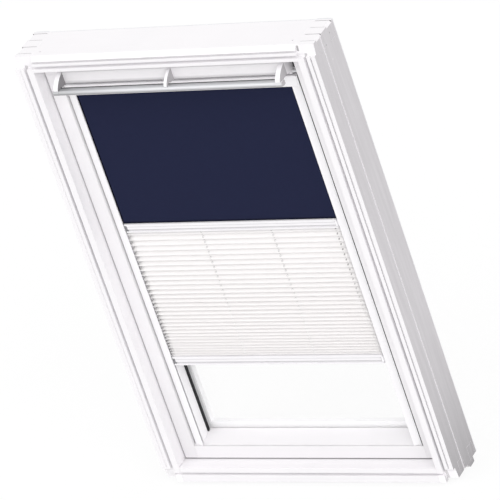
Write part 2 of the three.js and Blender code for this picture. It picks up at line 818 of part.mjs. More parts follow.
// The head box's section: a casing with a slot in its underside for the cloth
function headBoxSection() {
  const front = blindFront;
  const back = blindFront + headBoxDepth;
  const slotFront = front + clothSlotStart;
  const slotBack = slotFront + clothSlotWidth;
  return [
    [front, headBoxBottom], [slotFront, headBoxBottom],
    [slotFront, headBoxBottom + headBoxWall], [front + headBoxWall, headBoxBottom + headBoxWall],
    [front + headBoxWall, headBoxTop - headBoxWall], [back - headBoxWall, headBoxTop - headBoxWall],
    [back - headBoxWall, headBoxBottom + headBoxWall], [slotBack, headBoxBottom + headBoxWall],
    [slotBack, headBoxBottom], [back, headBoxBottom], [back, headBoxTop], [front, headBoxTop]
  ];
}

function buildHeadBox() {
  const inner = headBoxHalfWidth - headBoxCap;
  addPiece('head_box', alongX(headBoxSection(), seatGap - inner, inner - seatGap), 'whiteMetal');
  for (const [name, side] of sides) {
    const cap = sideBlock(side, [inner, blindFront, headBoxBottom],
      [headBoxHalfWidth, blindFront + headBoxDepth, headBoxTop]);
    const bore = sideRod(side, rollerStubRadius + seatGap, inner - overrun,
      headBoxHalfWidth + overrun, rollerY, rollerZ);
    addPiece('head_box_cap_' + name, cut(cap, [bore]), 'whiteMetal');
  }
}

function buildRoller() {
  const stubEnd = clothHalfWidth + rollerStubLength;
  const profile = [
    [0, -stubEnd], [rollerStubRadius, -stubEnd], [rollerStubRadius, -clothHalfWidth],
    [rollerRadius, -clothHalfWidth], [rollerRadius, clothHalfWidth],
    [rollerStubRadius, clothHalfWidth], [rollerStubRadius, stubEnd], [0, stubEnd]
  ].map(([radius, along]) => new THREE.Vector2(radius, along));
  const roller = new THREE.LatheGeometry(profile, turnSteps);
  roller.rotateZ(-Math.PI / 2);
  roller.translate(0, rollerY, rollerZ);
  addPiece('roller_tube', roller, 'darkCloth');
}

function buildDarkCloth() {
  addPiece('blackout_cloth', block(
    [-clothHalfWidth, clothY, middleBarTop + seatGap],
    [clothHalfWidth, clothY + clothThickness, rollerZ]
  ), 'darkCloth');
}

// The fold lines of the pleated cloth, from the top down
function foldHeights() {
  const weights = [];
  for (let index = 0; index < pleatCount; index += 1) {
    const along = (index + 0.5) / pleatCount;
    weights.push(lastPleatShare
      + (firstPleatShare - lastPleatShare) * (1 - along ** pleatEasingShare));
  }
  const total = weights.reduce((sum, weight) => sum + weight);
  const drop = pleatDrop - 2 * seatGap;
  let height = middleBarBottom - seatGap;
  const folds = [height];
  for (const weight of weights) {
    height -= drop * weight / total;
    folds.push(height);
  }
  return folds;
}

// The pleats' zigzag section: front folds halfway between the back folds
function pleatSection() {
  const front = barsFront + pleatFrontBack;
  const folds = foldHeights();
  const line = [];
  folds.forEach((fold, index) => {
    const above = index > 0 ? folds[index - 1] - fold : 0;
    const below = index < folds.length - 1 ? fold - folds[index + 1] : 0;
    const pitch = Math.max(above, below);
    const depth = Math.sqrt(pleatFace ** 2 - (pitch / 2) ** 2);
    line.push([front + depth, fold]);
    if (index < folds.length - 1) {
      line.push([front, (fold + folds[index + 1]) / 2]);
    }
  });
  const rear = line.map(([y, z]) => [y + pleatThickness, z]).reverse();
  return [...line, ...rear];
}

function buildPleats() {
  addPiece('pleated_cloth', alongX(pleatSection(), -clothHalfWidth, clothHalfWidth), 'pleatCloth');
}

// A blind bar's section: two flanges, a face with a fine line and a recessed grip
function blindBarSection(top) {
  const back = barsFront + barProfileDepth;
  const line = top - lineDrop;
  const face = line - grooveLineHeight;
  const grip = face - faceHeight;
  const bottom = top - barProfileHeight;
  return [
    [back, bottom], [back, top], [barsFront, top], [barsFront, line],
    [barsFront + grooveLineDepth, line], [barsFront + grooveLineDepth, face],
    [barsFront + faceSetback, face], [barsFront + faceSetback, grip],
    [barsFront + gripDepth, grip], [barsFront + gripDepth, bottom + gripFlange],
    [barsFront, bottom + gripFlange], [barsFront, bottom]
  ];
}

function buildBlindBar(name, top) {
  const bottom = top - barProfileHeight;
  const low = bottom + flangeHeight;
  const high = top - flangeHeight;
  const plugFront = barsFront + gliderFrontSetback;
  const plugBack = plugFront + gliderDepth;
  const rooms = sides.map(([, side]) => sideBlock(side,
    [clothHalfWidth - gliderInset - seatGap, barsFront - overrun, low],
    [clothHalfWidth + overrun, plugBack + seatGap, high]));
  const bar = alongX(blindBarSection(top), -clothHalfWidth, clothHalfWidth);
  addPiece(name + '_bar', cut(bar, rooms), 'whiteMetal');
  for (const [sideName, side] of sides) {
    const plug = sideBlock(side,
      [clothHalfWidth - gliderInset, plugFront, low + seatGap],
      [clothHalfWidth, plugBack, high - seatGap]);
    const middle = (low + high) / 2;
    const tongue = sideBlock(side,
      [clothHalfWidth - gliderInset / 2, tongueFront, middle - tongueHeight / 2],
      [channelInner + tongueReach, plugBack, middle + tongueHeight / 2]);
    addPiece(name + '_glider_' + sideName, join([plug, tongue]), 'glider');
  }
}

// The side channel's section on the right: a box with a slot behind its front lip
function channelSection() {
  return [
    [channelInner, channelFront], [channelOuter, channelFront + channelSlant], [channelOuter, channelBack],
    [channelInner, channelBack], [channelInner, slotBack], [channelInner + channelWall, slotBack],
    [channelInner + channelWall, channelBack - channelWall],
    [channelOuter - channelWall, channelBack - channelWall],
    [channelOuter - channelWall, slotFront + channelSlant], [channelInner, slotFront]
  ];
}

function buildChannels() {
  const railShadow = alongX(bottomRailSection(seatGap), -sashHalf, sashHalf);
  for (const [name, side] of sides) {
    const channel = alongZ(mirrored(channelSection(), side), sashBottom, headBoxBottom - seatGap);
    addPiece('side_channel_' + name, cut(channel, [railShadow]), 'whiteMetal');
    const sealInner = channelInner - lightSealReach;
    const seal = sideBlock(side, [sealInner, channelBack + seatGap, sashBottom],
      [sealInner + lightSealWidth, glassSeatY - seatGap, headBoxBottom - seatGap]);
    addPiece('light_seal_' + name, cut(seal, [railShadow]), 'rubber');
  }
}

buildFrame();
buildJambs();
buildFrameCovers();
buildSash();
buildGlass();
buildRimSeal();
buildSashCovers();
buildFlap();
buildHandle();
buildHeadBox();
buildRoller();
buildDarkCloth();
buildPleats();
buildBlindBar('middle', middleBarTop);
buildBlindBar('bottom', bottomBarTop);
buildChannels();

// The origin: the middle of the bottom of the window's box
roofWindow.position.set(0, -(barFront + windowBack) / 2, dripDrop);

export default roofWindow;
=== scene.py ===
"""A centre-pivot roof window with a double blind in its sash.

Materials, cloths, fine parts, light and camera.
"""

import math

import bmesh
import bpy
from mathutils import Matrix, Vector


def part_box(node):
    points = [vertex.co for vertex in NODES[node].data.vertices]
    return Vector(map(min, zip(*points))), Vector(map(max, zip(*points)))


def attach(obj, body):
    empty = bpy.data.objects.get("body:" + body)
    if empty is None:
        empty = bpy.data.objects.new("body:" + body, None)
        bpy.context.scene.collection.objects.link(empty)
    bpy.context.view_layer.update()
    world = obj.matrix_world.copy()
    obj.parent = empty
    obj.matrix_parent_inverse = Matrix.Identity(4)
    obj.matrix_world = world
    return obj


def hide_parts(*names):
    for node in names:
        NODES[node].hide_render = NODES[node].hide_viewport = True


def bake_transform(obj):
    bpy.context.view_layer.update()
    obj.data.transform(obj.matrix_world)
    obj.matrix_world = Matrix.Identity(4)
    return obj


MM = 0.001
ACROSS, UPRIGHT = 0, 2

# The camera that fits the photograph, in the row frame
CAMERA_AT = (5.8437, -8.46495, 6.1738)
CAMERA_RIGHT = (0.8666, 0.4052, -0.2913)
CAMERA_UP = (0.0188, 0.5568, 0.8304)
CAMERA_BACK = (0.4986, -0.7251, 0.4750)
CAMERA_LENS = 367.1
SENSOR_WIDTH = 36
VIEW_REACH = 200

# Light: each sun's direction and strength, the sky, and the floor with its own light
SUNS = {
    "sun_left": ((-0.40, -0.55, 0.74), 0.50),
    "sun_right": ((0.62, -0.55, 0.56), 0.98),
    "sun_front": ((0.15, -0.93, 0.34), 0.10),
}
SUN_ANGLE = 45
SKY_STRENGTH = 0.775
FLOOR_TONE = 0.8
FLOOR_GLOW = 1.03
FLOOR_SHOWN = 0.86
FLOOR_REACH = 30

# Places are in metres in the row frame: x from the middle, y from front to back and z upwards.
# The part's own origin stands at this depth and height.
FRONT = -0.04965
FOOT = 0.014

# The frame's primed outer sides, the shade towards their foot, and the step in their front edge
SIDE_FROM = 0.3893
SIDE_FACING = 0.8
SHADE_TO = 0.46
STEP_FROM = SIDE_FROM - 2.5 * MM
STEP_DEPTH = FRONT + 12 * MM

# Small marks on the frame's sides: depth, height and tone, and the distances over which they fade
PLUGS = (
    (0.03855, 1.1734, (0.30, 0.29, 0.30)),
    (0.01075, 1.1582, (0.34, 0.33, 0.34)),
    (0.01775, 1.1174, (0.80, 0.78, 0.80)),
)
PLUG_EDGE = (1.2 * MM, 2.2 * MM)

# The comb joints at the frame's corners: where they stand, and the depth of their lines
COMB_FROM = 0.3500
COMB_ABOVE = 1.1545
COMB_BELOW = 0.0480
COMB_FIRST = -0.02465
COMB_LAYER = 0.0285
COMB_LINE = 0.0007

# The frame's grooves and gaps, each as its range of width, depth and height; None is open.
# Painted shade darkens each of them. The trim groove's painted shade shows only on faces that
# turn outwards, the painted shade at the head's end only on the right, and the painted shade in
# the gap round the sash is darker along the level pieces than along the uprights.
OPENING_HALF = 0.3453
OUTWARD_FROM = 0.35
GROOVE_FROM = FRONT + 0.6 * MM
LINING_GROOVE = ((0.3605, 0.3675), (GROOVE_FROM, None), (0.0, 1.17))
HEAD_GROOVE = ((None, 0.357), (GROOVE_FROM, FRONT + 6.2 * MM), (1.1764, 1.1812))
HEAD_END = ((OPENING_HALF, COMB_FROM), (None, None), (1.1760, 1.1890))
TRIM_GROOVE = ((0.3763, 0.3806), (FRONT, FRONT + 3.3 * MM), (0.03, 1.16))
SASH_GAP = ((None, OPENING_HALF), (-0.0119, None), (0.0475, 1.1588))
SASH_GAP_UPRIGHT = 0.12
SASH_GAP_LEVEL = 0.5

# The uprights: the heights between which painted light makes them pale, the height below
# which painted light makes them pale, and the heights over which the painted shade on the
# stiles' foot fades
PALE_HEIGHTS = (0.96, 1.12)
PALE_BELOW = 0.036
STILE_FOOT = (0.06, 0.32)

# The bead of the sash's bottom rail, which painted shade darkens: its depths and heights
BEAD = ((-0.0107, -0.0089), (0.0825, 0.0855))

# The flap's front face, the heights over which painted shade darkens its two edges, and the
# widths over which painted shade darkens its left
FLAP_FACE = -0.0305
FLAP_FOOT = (1.1124, 1.1204)
FLAP_HEAD = (1.1405, 1.1425)
FLAP_LEFT = (-0.30, -0.02)

# The control bar: its back and top, the depths over which a painted reflection darkens its top,
# the heights between which a painted highlight brightens its front, and where its two ends start
BAR_BACK = -0.05365
BAR_TOP = 1.1147
BAR_DARKENS = (BAR_BACK - 14 * MM, BAR_BACK)
BAR_BRIGHTENS = (BAR_TOP - 9 * MM, BAR_TOP - 3 * MM)
BAR_END_FROM = 0.28

# The widths over which painted shade darkens the bar and the sides of its arms towards the left
BAR_LEFT = (-0.29, -0.10)
ARM_LEFT = (-0.28, 0.0)

# Bands of painted shade along the front of a blind's bar: from and to below its top, and how dark
BAR_BANDS = ((6.2 * MM, 8.0 * MM, 0.28), (14.6 * MM, 19.0 * MM, 0.30))

# The panes, the inner edge of the bar between them, and the depths over which the light seals
# turn a grey that painted light makes pale
GLASS_IOR = 1.15
SPACER_INNER = 0.2790
SEAL_GREYS = (0.0325, 0.0337)

# The dark cloth: half its width, half of what shows of it, its length, and where painted
# shadow darkens it.
# Its waves, like the other cloth's, each have a height, their pace across the cloth and their
# lean along it.
DARK_HALF = 0.2855
DARK_EDGE = 0.2830
DARK_DROP = 0.3672
DARK_THICKNESS = 0.45 * MM
DARK_SIDES = (DARK_EDGE - 4.5 * MM, DARK_EDGE - 1.5 * MM)
DARK_HEAD = (3 * MM, 9 * MM)
DARK_FOOT = (DARK_DROP - 8 * MM, DARK_DROP)
DARK_WAVES = ((0.22 * MM, 21, 1.3), (0.12 * MM, 47, -3))

# The pleated cloth: half its width, its pleats, and the share of a mean pitch that the first and
# the last of them take. Then the length of one face of a pleat, how far the folds stand back in
# the node's box, and the rows of cloth on a face as shares of its length.
PLEAT_HALF = 0.2822
PLEATS = 31
FIRST_SHARE = 1.296
LAST_SHARE = 0.556
EASING = 1.5
PLEAT_THICKNESS = 0.3 * MM
PLEAT_FACE = 11 * MM
PLEAT_INSET = 0.35 * MM
FACE_ROWS = (0.0, 0.05, 0.2, 0.38, 0.62, 0.8, 0.95)
SLOT_ROW = 0.38
PLEAT_RISES = ((0.16 * MM, 23, 1.9), (0.14 * MM, 9, -0.7))
PLEAT_SWAYS = ((0.12 * MM, 31, 2.3),)

# Lengths of cloth over which the pleats grow paler and the painted shade round the cords' holes
# fades, and the shares of a face between which that painted shade shows
PLEAT_PALES = (0.34, 0.68)
EYELET_FADES = (0.15, 0.42)
EYELET_ROWS = (0.30, 0.72)

# Where the cords pass through the pleats, from the middle, how many of these places have slots,
# and half the width of a slot
EYELETS = (-84 * MM, 101 * MM, 268 * MM)
SLOTTED = 2
SLOT_HALF = 1.2 * MM

# Tones used on more than one piece: the colour of painted shade, and the pale of painted light
SHADE = (0.06, 0.055, 0.06)
PALE = (0.985, 0.965, 0.985)

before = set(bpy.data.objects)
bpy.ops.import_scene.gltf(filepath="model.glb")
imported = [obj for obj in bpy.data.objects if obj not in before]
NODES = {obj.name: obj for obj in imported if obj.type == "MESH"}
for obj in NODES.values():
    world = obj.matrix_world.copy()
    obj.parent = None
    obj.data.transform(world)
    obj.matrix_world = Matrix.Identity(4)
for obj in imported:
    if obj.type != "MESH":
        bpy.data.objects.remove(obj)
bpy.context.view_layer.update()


# ---------------------------------------------------------------- material helpers
class Graph:
    """A material's node tree around one Principled shader."""

    def __init__(self, name, **settings):
        self.mat = bpy.data.materials.new(name)
        self.mat.use_nodes = True
        self.tree = self.mat.node_tree
        self.tree.nodes.clear()
        out = self.tree.nodes.new("ShaderNodeOutputMaterial")
        self.shader = self.tree.nodes.new("ShaderNodeBsdfPrincipled")
        self.tree.links.new(self.shader.outputs["BSDF"], out.inputs["Surface"])
        for key, value in settings.items():
            self.set(key.replace("_", " "), value)

    def set(self, socket, value):
        self.fill(self.shader.inputs[socket], value)

    def fill(self, socket, value):
        if isinstance(value, bpy.types.NodeSocket):
            self.tree.links.new(value, socket)
        elif isinstance(value, tuple) and len(value) == 3 and socket.type == "RGBA":
            socket.default_value = (*value, 1)
        else:
            socket.default_value = value

    def node(self, kind, inputs=(), output=0, **props):
        new = self.tree.nodes.new("ShaderNode" + kind)
        for key, value in props.items():
            setattr(new, key, value)
        for key, value in dict(inputs).items():
            self.fill(new.inputs[key], value)
        return new.outputs[output]

    def split(self, vector):
        parts = self.tree.nodes.new("ShaderNodeSeparateXYZ")
        self.tree.links.new(vector, parts.inputs["Vector"])
        return parts.outputs

    def at(self):
        """The place on the object, as x, y and z."""
        return self.split(self.node("TexCoord", output="Object"))

    def facing(self):
        """The way the surface faces, as x, y and z."""
        return self.split(self.node("TexCoord", output="Normal"))

    def place(self, scale=(1, 1, 1)):
        coords = self.node("TexCoord", output="Object")
        return self.node("Mapping", {"Vector": coords, "Scale": scale})

    def noise(self, vector, scale, detail=3, roughness=0.5, distortion=0.0):
        return self.node("TexNoise", {
            "Vector": vector, "Scale": scale, "Detail": detail,
            "Roughness": roughness, "Distortion": distortion,
        })

    def ramp(self, value, low, high, to_low, to_high):
        return self.node("MapRange", {
            "Value": value, "From Min": low, "From Max": high,
            "To Min": to_low, "To Max": to_high,
        })

    def spread(self, noise, to_low, to_high):
        """Noise, which keeps mostly between 0.3 and 0.7, over a range of its own."""
        return self.ramp(noise, 0.3, 0.7, to_low, to_high)

    def maths(self, operation, a, b=0.0):
        return self.node("Math", {0: a, 1: b}, operation=operation)

    def size(self, value):
        return self.maths("ABSOLUTE", value)

    def both(self, a, b):
        return self.maths("MULTIPLY", a, b)

    def either(self, a, b):
        return self.maths("MAXIMUM", a, b)

    def above(self, value, low):
        return self.maths("GREATER_THAN", value, low)

    def below(self, value, high):
        return self.maths("LESS_THAN", value, high)

    def within(self, values, ranges):
        """One where each value lies in its range, else zero. None leaves an end open."""
        tests = []
        for value, (low, high) in zip(values, ranges):
            if low is not None:
                tests.append(self.above(value, low))
            if high is not None:
                tests.append(self.below(value, high))
        mask = tests[0]
        for test in tests[1:]:
            mask = self.both(mask, test)
        return mask

    def blend(self, factor, a, b):
        mix = self.tree.nodes.new("ShaderNodeMix")
        mix.data_type = "RGBA"
        for index, value in ((0, factor), (6, a), (7, b)):
            self.fill(mix.inputs[index], value)
        return mix.outputs[2]

    def shade(self, colour, share):
        return self.blend(share, colour, SHADE)

    def bump(self, height, distance, strength):
        normal = self.node("Bump", {
            "Height": height, "Distance": distance, "Strength": strength,
        })
        self.set("Normal", normal)

    def peel(self, scale, rough, distance, strength):
        """The fine unevenness of a coat or a moulding."""
        dimples = self.noise(self.place(), scale, 2)
        self.set("Roughness", self.spread(dimples, *rough))
        self.bump(dimples, distance, strength)


def stretched(axis, share):
    """A scale that draws a pattern out along one axis."""
    scale = [1.0, 1.0, 1.0]
    scale[axis] = share
    return tuple(scale)


# ---------------------------------------------------------------- lacquered wood
def primer(g, y, z):
    """Bare primer: streaked along the frame, with a few small marks, and painted shade that
    darkens it towards its foot.
    """
    streak = g.noise(g.place(stretched(UPRIGHT, 0.06)), 90, 4, 0.65)
    primed = g.blend(g.spread(streak, 0, 1), (0.632, 0.610, 0.632), (0.565, 0.546, 0.565))
    # Painted shade towards the foot, where less light reaches the sides
    foot = g.maths("POWER", g.ramp(z, 0.0, SHADE_TO, 1, 0), 1.6)
    primed = g.blend(g.both(foot, 0.37), primed, (0.02, 0.02, 0.02))
    for place_y, place_z, tone in PLUGS:
        reach = g.maths("POWER", g.maths("SUBTRACT", y, place_y), 2.0)
        rise = g.maths("POWER", g.maths("SUBTRACT", z, place_z), 2.0)
        away = g.maths("SQRT", g.maths("ADD", reach, rise))
        primed = g.blend(g.ramp(away, *PLUG_EDGE, 0.8, 0), primed, tone)
    return primed


def frame_tones(g, colour, gap_share):
    """The frame's primed sides, its comb joints, and the shade in its narrow grooves and gaps."""
    x, y, z = g.at()
    normal = g.facing()
    sideways = g.size(normal["X"])
    outward = g.both(normal["X"], g.maths("SIGN", x))
    wide = g.size(x)

    primed = primer(g, y, z)
    side = g.both(g.above(wide, SIDE_FROM), g.above(sideways, SIDE_FACING))
    colour = g.blend(side, colour, primed)
    step = g.both(g.above(wide, STEP_FROM), g.below(sideways, SIDE_FACING))
    upright = g.below(g.size(normal["Z"]), 0.5)
    step = g.both(g.both(step, g.above(y, STEP_DEPTH)), upright)
    colour = g.blend(g.both(step, 0.3), colour, primed)

    layer = g.maths("DIVIDE", g.maths("SUBTRACT", y, COMB_FIRST), COMB_LAYER)
    off = g.size(g.maths("SUBTRACT", layer, g.maths("ROUND", layer)))
    line = g.below(off, COMB_LINE / COMB_LAYER)
    ends = g.either(g.above(z, COMB_ABOVE), g.below(z, COMB_BELOW))
    comb = g.both(g.within([wide], [(COMB_FROM, SIDE_FROM)]), g.both(line, ends))
    colour = g.blend(g.both(comb, 0.8), colour, (0.2, 0.19, 0.2))

    # Painted shade in the frame's narrow grooves and gaps
    shades = (
        (g.within((wide, y, z), LINING_GROOVE), 0.3),
        (g.within((wide, y, z), HEAD_GROOVE), 0.12),
        (g.within((x, y, z), HEAD_END), 0.6),
        (g.both(g.within((wide, y, z), TRIM_GROOVE), g.above(outward, OUTWARD_FROM)), 0.35),
        (g.within((wide, y, z), SASH_GAP), gap_share),
    )
    for mask, share in shades:
        colour = g.shade(colour, g.both(mask, share))
    return colour


def upright_tones(g, colour, frame_piece):
    """Painted light makes them paler inside the frame towards the head and on the foot;
    painted shade makes the stiles' foot greyer.
    """
    x, _, z = g.at()
    inside = g.below(g.size(x), OPENING_HALF)
    # Painted light inside the frame near the head, which shades it, and on the foot
    pale = g.either(g.both(inside, g.ramp(z, *PALE_HEIGHTS, 0, 1)), g.below(z, PALE_BELOW))
    colour = g.blend(pale, colour, PALE)
    if not frame_piece:
        # Painted shade on the stiles' foot
        colour = g.shade(colour, g.ramp(z, *STILE_FOOT, 0.1, 0))
    return colour


def flap_tones(g, tone):
    """Painted light makes the flap paler than the wood, painted shade darkens its left and its
    edges, and it is greyer on its ends.
    """
    x, y, z = g.at()
    # Painted light: the flap is paler, against the head's shade over it
    colour = g.blend(tone, PALE, (0.955, 0.938, 0.957))
    # Painted shade towards the left, where the left arm shades the flap
    colour = g.shade(colour, g.ramp(x, *FLAP_LEFT, 0.04, 0))
    # Painted shade along the lower edge and below the rail above
    low = g.ramp(z, *FLAP_FOOT, 0.42, 0)
    high = g.ramp(z, *FLAP_HEAD, 0, 0.3)
    colour = g.shade(colour, g.both(g.below(y, FLAP_FACE), g.either(low, high)))
    ends = g.ramp(g.size(g.facing()["X"]), 0.6, 0.85, 0, 1)
    return g.blend(ends, colour, (0.80, 0.785, 0.80))


def bead_tones(g, colour):
    """Painted shade makes the bottom rail a little greyer, and darker along its bead."""
    _, y, z = g.at()
    # Painted shade along the bead, and a little all over
    line = g.both(g.within((y, z), BEAD), 0.6)
    return g.shade(colour, g.either(line, 0.05))


def lacquer(name, axis, frame_piece=False, flap=False, bead=False):
    """White lacquer on wood, its faint grain along the axis."""
    g = Graph(name, Specular_IOR_Level=0.42)
    grain = g.noise(g.place(stretched(axis, 0.035)), 420, 4, 0.6, 0.3)
    cloud = g.noise(g.place(), 5, 2)
    tone = g.maths("ADD", g.spread(grain, 0, 0.35), g.ramp(cloud, 0.35, 0.65, 0, 0.65))
    if flap:
        colour = flap_tones(g, tone)
    else:
        colour = g.blend(tone, (0.905, 0.886, 0.905), (0.880, 0.864, 0.882))
    if axis == UPRIGHT:
        colour = upright_tones(g, colour, frame_piece)
    if frame_piece:
        gap_share = SASH_GAP_UPRIGHT if axis == UPRIGHT else SASH_GAP_LEVEL
        colour = frame_tones(g, colour, gap_share)
    if bead:
        colour = bead_tones(g, colour)
    g.set("Base Color", colour)
    g.set("Roughness", g.spread(grain, 0.31, 0.42))
    peel = g.noise(g.place(), 900, 2)
    g.bump(g.maths("ADD", grain, g.both(peel, 0.4)), 0.00012, 0.5)
    return g.mat


# ---------------------------------------------------------------- coats, metals, rubber and glass
def powder(name, base, dark, metallic=0.0, rough=(0.38, 0.5)):
    """Powder coat or moulded surface with a fine orange peel."""
    g = Graph(name, Metallic=metallic)
    cloud = g.noise(g.place(), 9, 3)
    g.set("Base Color", g.blend(g.spread(cloud, 0, 1), base, dark))
    g.peel(1500, rough, 0.00006, 0.6)
    return g.mat


def brushed(name, base, dark, axis):
    """Metal brushed along the axis."""
    g = Graph(name, Metallic=1.0)
    lines = g.noise(g.place(stretched(axis, 0.01)), 2600, 3, 0.7)
    cloud = g.noise(g.place(), 14, 2)
    tone = g.maths("ADD", g.spread(lines, 0, 0.6), g.spread(cloud, 0, 0.4))
    g.set("Base Color", g.blend(tone, base, dark))
    g.set("Roughness", g.spread(lines, 0.24, 0.4))
    g.bump(lines, 0.00003, 0.5)
    return g.mat


def rubber(name, greys=None):
    """Black rubber; over a range of depth its foot, where it meets the glass, can turn a grey
    that painted light makes pale against the shade there.
    """
    g = Graph(name, Specular_IOR_Level=0.3)
    dust = g.noise(g.place(), 60, 4, 0.65)
    pores = g.noise(g.place(), 2200, 2)
    dusty = g.ramp(dust, 0.45, 0.75, 0, 1)
    colour = g.blend(dusty, (0.010, 0.010, 0.012), (0.028, 0.028, 0.03))
    if greys:
        # Painted light: a pale grey foot against the shade where the seal meets the glass
        painted_pale_foot = g.ramp(g.at()["Y"], *greys, 0, 1)
        colour = g.blend(painted_pale_foot, colour, (0.66, 0.66, 0.67))
    g.set("Base Color", colour)
    g.set("Roughness", g.spread(dust, 0.55, 0.75))
    g.bump(pores, 0.00008, 0.6)
    return g.mat


def foam(name):
    """Dark open foam."""
    g = Graph(name, Roughness=0.95, Specular_IOR_Level=0.1)
    cells = g.node("TexVoronoi", {"Vector": g.place(), "Scale": 900})
    walls = g.ramp(cells, 0, 0.6, 1, 0)
    g.set("Base Color", g.blend(walls, (0.19, 0.195, 0.205), (0.05, 0.05, 0.055)))
    g.bump(cells, 0.0006, 0.8)
    return g.mat


def spacer(name):
    """Bar between the panes, with fine holes: painted light makes it pale against the shade
    between the panes, and painted shade makes its face a little greyer at the sides.
    """
    g = Graph(name, Metallic=0.15)
    dots = g.node("TexVoronoi", {"Vector": g.place(), "Scale": 420, "Randomness": 0.0})
    lines = g.noise(g.place(), 700, 3)
    front = g.below(g.facing()["Y"], -0.5)
    side = g.both(front, g.above(g.size(g.at()["X"]), SPACER_INNER))
    # Pale as painted light, and greyer as painted shade on the side members' faces
    colour = g.blend(side, (0.99, 0.985, 0.995), (0.86, 0.86, 0.875))
    holes = g.both(g.maths("SUBTRACT", 1.0, front), g.ramp(dots, 0.14, 0.2, 1, 0))
    g.set("Base Color", g.blend(g.both(holes, 0.5), colour, (0.3, 0.3, 0.31)))
    g.set("Roughness", g.spread(lines, 0.32, 0.5))
    return g.mat


def glass(name):
    """Clear glass: a mirror film as strong as glass reflects, over what lies behind it."""
    g = Graph(name, Base_Color=(0.97, 0.97, 0.975), Metallic=1.0)
    dust = g.noise(g.place(), 35, 3)
    g.set("Roughness", g.spread(dust, 0.0, 0.03))
    inside = g.node("NewGeometry", output="Backfacing")
    g.set("Alpha", g.node("Fresnel", {"IOR": g.ramp(inside, 0, 1, GLASS_IOR, 1 / GLASS_IOR)}))
    return g.mat


# ---------------------------------------------------------------- arms and bars
def bar_painted_reflections(g):
    """The bar's metal with painted reflections: dark on its top, a bright painted highlight on
    its front, dark again below, and painted shade towards the left.
    """
    x, y, z = g.at()
    # Painted reflection: the top darkens towards its back
    back = g.ramp(y, *BAR_DARKENS, 0, 1)
    top = g.blend(back, (0.66, 0.665, 0.685), (0.30, 0.303, 0.313))
    # Painted highlight: the front brightens towards its top, and is dark below
    rise = g.ramp(z, *BAR_BRIGHTENS, 0, 1)
    face = g.blend(rise, (0.36, 0.363, 0.378), (0.78, 0.783, 0.80))
    colour = g.blend(g.ramp(g.facing()["Z"], 0.3, 0.8, 0, 1), face, top)
    # Painted shade towards the left
    return g.blend(g.ramp(x, *BAR_LEFT, 0.3, 0), colour, (0.02, 0.02, 0.022))


def handle_plastic(name):
    """The arms: white on their front, grey on their sides with painted shade towards the left,
    and the bar's metal with its painted reflections where they take in the bar.
    """
    g = Graph(name)
    x, y, z = g.at()
    side = g.ramp(g.size(g.facing()["X"]), 0.55, 0.8, 0, 1)
    cloud = g.noise(g.place(), 30, 2)
    white = g.blend(g.spread(cloud, 0, 1), (0.92, 0.905, 0.925), (0.90, 0.885, 0.905))
    # Painted shade: the grey sides are darker towards the left
    grey = g.blend(g.ramp(x, *ARM_LEFT, 0, 1), (0.27, 0.26, 0.27), (0.50, 0.485, 0.50))
    colour = g.blend(side, white, grey)
    foot = g.both(g.below(z, BAR_TOP - 0.5 * MM), g.below(y, BAR_BACK))
    ends = g.above(g.size(x), BAR_END_FROM)
    foot = g.both(g.both(foot, ends), g.maths("SUBTRACT", 1.0, side))
    g.set("Base Color", g.blend(foot, colour, bar_painted_reflections(g)))
    g.peel(1400, (0.36, 0.48), 0.00005, 0.5)
    return g.mat


def blind_bar(name, node):
    """A blind's bar: white, with painted shade in a fine line and in a recess along its front."""
    g = Graph(name)
    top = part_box(node)[1].z
    down = g.maths("SUBTRACT", top, g.at()["Z"])
    front = g.below(g.facing()["Y"], -0.5)
    cloud = g.noise(g.place(), 12, 2)
    colour = g.blend(g.spread(cloud, 0, 1), (0.90, 0.885, 0.905), (0.875, 0.862, 0.882))
    for low, high, share in BAR_BANDS:
        # Painted shade in the fine line and the recess along the front
        band = g.both(front, g.within([down], [(low, high)]))
        colour = g.shade(colour, g.both(band, share))
    g.set("Base Color", colour)
    g.peel(1500, (0.38, 0.5), 0.00006, 0.6)
    return g.mat


def bar_metal(name):
    """Anodised bar, brushed along its length, its colour carrying painted reflections and shade.
    """
    g = Graph(name, Metallic=0.3)
    lines = g.noise(g.place(stretched(ACROSS, 0.01)), 2600, 3, 0.7)
    g.set("Base Color", g.blend(g.spread(lines, 0, 0.12), bar_painted_reflections(g), (0.4, 0.4, 0.42)))
    g.set("Roughness", g.spread(lines, 0.3, 0.42))
    g.bump(lines, 0.00003, 0.5)
    return g.mat


# ---------------------------------------------------------------- woven cloth
def woven(name, base, dark, threads, sheen, bump, gloss, tints_and_painted_light):
    """A plain weave, read from the cloth's UV map in metres; the function passed in tints it in
    places and paints shade and light on it.
    """
    g = Graph(
        name, Roughness=0.88, Specular_IOR_Level=gloss, Sheen_Weight=sheen, Sheen_Roughness=0.4
    )
    flat = g.node("UVMap", uv_map="cloth")
    along = g.split(flat)
    across = g.both(along["X"], threads)
    down = g.both(along["Y"], threads)
    warp = g.size(g.maths("SINE", g.both(across, math.pi)))
    weft = g.size(g.maths("SINE", g.both(down, math.pi)))
    over = g.above(g.maths("SINE", g.both(across, math.pi / 2)), 0.0)
    under = g.above(g.maths("SINE", g.both(down, math.pi / 2)), 0.0)
    turn = g.size(g.maths("SUBTRACT", over, under))
    height = g.node("Mix", {0: turn, 2: warp, 3: weft})
    slub = g.noise(g.node("Mapping", {"Vector": flat, "Scale": (1, 14, 1)}), 60, 3, 0.6)
    tone = g.maths("ADD", g.both(height, 0.7), g.spread(slub, 0, 0.3))
    g.set("Base Color", tints_and_painted_light(g, along, g.blend(tone, dark, base)))
    g.bump(height, bump, 0.7)
    return g.mat


